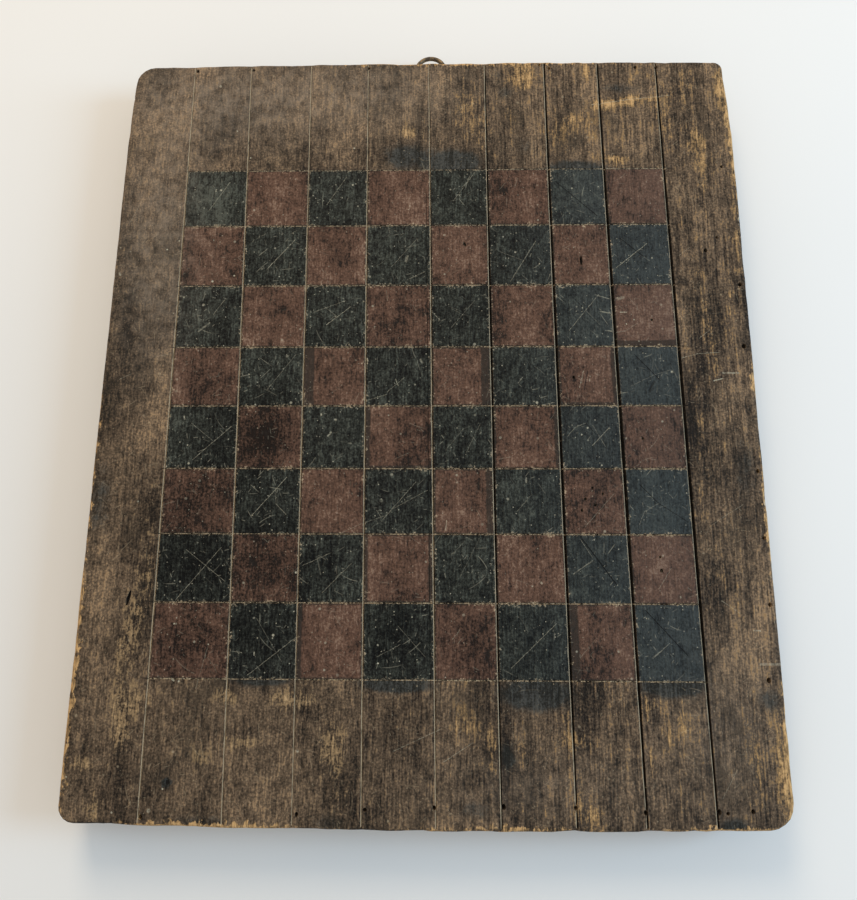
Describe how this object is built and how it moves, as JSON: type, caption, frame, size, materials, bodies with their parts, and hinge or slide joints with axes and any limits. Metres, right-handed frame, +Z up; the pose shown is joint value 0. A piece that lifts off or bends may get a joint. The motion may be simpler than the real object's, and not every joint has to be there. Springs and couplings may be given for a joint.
{
  "type": "checkerboard",
  "caption": "Hand-made wooden checkerboard: one wide plank with scribed lines and painted squares, cleats across the back and a hanging ring at the top.",
  "frame": {"origin": "centre of the bounding box at the table surface that the cleats rest on", "axes": "+Z up out of the painted face, +Y along the grain toward the end with the hanging ring, +X to the right seen from above"},
  "size_m": [0.356, 0.4522, 0.0312],
  "materials": {
    "plank_wood": "worn dark finish over bare softwood",
    "black_paint": "old matt black paint on wood",
    "red_paint": "old matt brown-red paint on wood",
    "cleat_wood": "aged unpainted softwood",
    "nail_iron": "dark rusted iron",
    "hanger_iron": "darkened iron with brown rust",
    "ring_metal": "brown tarnished brass",
    "screw_metal": "dull aged steel"
  },
  "bodies": {
    "checkerboard": {"board": "plank_wood", "black_squares": "black_paint", "red_squares": "red_paint", "top_cleat": "cleat_wood", "bottom_cleat": "cleat_wood", "cleat_nails": "nail_iron", "hanger_strap": "hanger_iron", "hanger_screws": "screw_metal"},
    "ring": {"hanger_ring": "ring_metal"}
  },
  "joints": [
    {"name": "ring_swing", "type": "hinge", "parent": "checkerboard", "child": "ring", "pos_m": [0.001, 0.2071, 0.009], "axis": [1, 0, 0], "range_deg": [-175, 85]}
  ]
}
